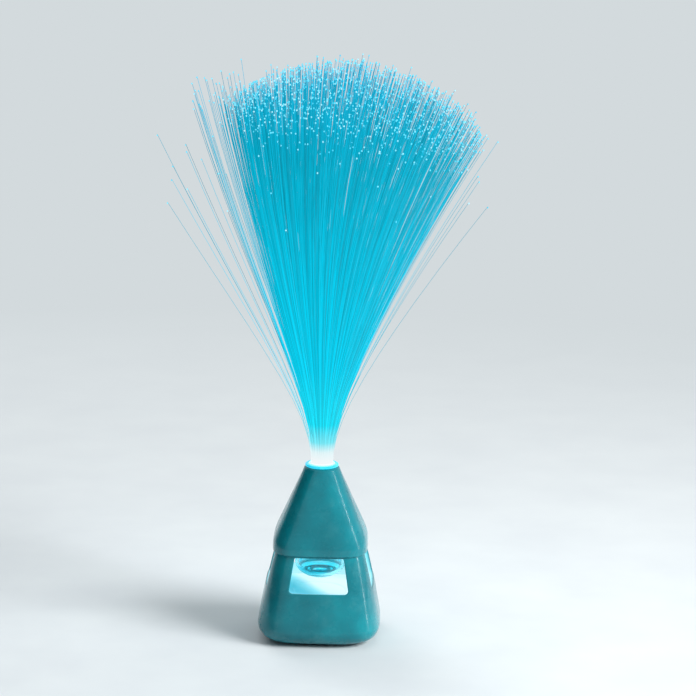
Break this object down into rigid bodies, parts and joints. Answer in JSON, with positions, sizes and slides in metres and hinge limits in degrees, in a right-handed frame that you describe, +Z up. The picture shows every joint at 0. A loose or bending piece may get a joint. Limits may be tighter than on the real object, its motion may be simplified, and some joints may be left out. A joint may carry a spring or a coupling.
{
  "type": "fibre optic lamp",
  "caption": "Battery table lamp: a square windowed base with a hanging stepped lens, a cone housing with a collar, and a lift-out spray of light fibres.",
  "frame": {"origin": "on the table under the middle of the lamp", "axes": "+Z up along the lamp, +X to the right and -Y towards the viewer of the front window"},
  "size_m": [0.2019, 0.202, 0.3537],
  "materials": {
    "housing_plastic": "smooth glossy moulding with rounded edges",
    "cover_plastic": "fine moulded texture",
    "white_plastic": "matt white reflector plastic",
    "black_plastic": "dark moulded plastic",
    "clear_acrylic": "clear polished acrylic",
    "collar_acrylic": "translucent acrylic that glows",
    "light_fibre": "clear drawn acrylic fibre, lit from its foot",
    "cell_jacket": "printed foil jacket over a metal can",
    "plated_steel": "bright zinc plate",
    "spring_steel": "nickel plated wire",
    "ferrule_metal": "turned and polished",
    "rubber": "matt black rubber",
    "board_laminate": "green solder mask",
    "chip_resin": "moulded black resin",
    "lamp_epoxy": "clear epoxy",
    "chip_phosphor": "white chip case",
    "lead_red": "PVC insulation",
    "lead_yellow": "PVC insulation",
    "lead_black": "PVC insulation"
  },
  "bodies": {
    "lamp_base": {"base_shell": "housing_plastic", "base_plate": "cover_plastic", "battery_box": "black_plastic", "battery_cell_left": "cell_jacket", "battery_cell_middle": "cell_jacket", "battery_cell_right": "cell_jacket", "contact_springs": "spring_steel", "contact_plates": "spring_steel", "switch_body": "plated_steel", "rubber_feet": "rubber", "base_screws": "plated_steel", "reflector_deck": "white_plastic", "lens_carrier": "white_plastic", "crystal_lens": "clear_acrylic", "reflector_cup": "white_plastic", "light_board": "board_laminate", "downlight_chip": "chip_phosphor", "fibre_lamp": "lamp_epoxy", "control_chip": "chip_resin", "resistors": "chip_resin", "board_screws": "plated_steel", "carrier_screws": "plated_steel", "cone_housing": "housing_plastic", "collar_ring": "collar_acrylic", "lead_positive": "lead_red", "lead_switched": "lead_yellow", "lead_negative": "lead_black"},
    "fibre_plug": {"ferrule": "ferrule_metal", "core_fibres": "light_fibre", "middle_fibres": "light_fibre", "outer_fibres": "light_fibre", "stray_fibres": "light_fibre"},
    "switch": {"switch_button": "black_plastic"},
    "door": {"battery_door": "cover_plastic"}
  },
  "joints": [
    {"name": "fibre_plug_lift", "type": "slide", "parent": "lamp_base", "child": "fibre_plug", "axis": [0, 0, 1], "range_m": [0, 0.03]},
    {"name": "switch_slide", "type": "slide", "parent": "lamp_base", "child": "switch", "axis": [1, 0, 0], "range_m": [0, 0.003]},
    {"name": "battery_door_hinge", "type": "hinge", "parent": "lamp_base", "child": "door", "pos_m": [-0.0224, 0, 0.0022], "axis": [0, 1, 0], "range_deg": [0, 70]}
  ]
}
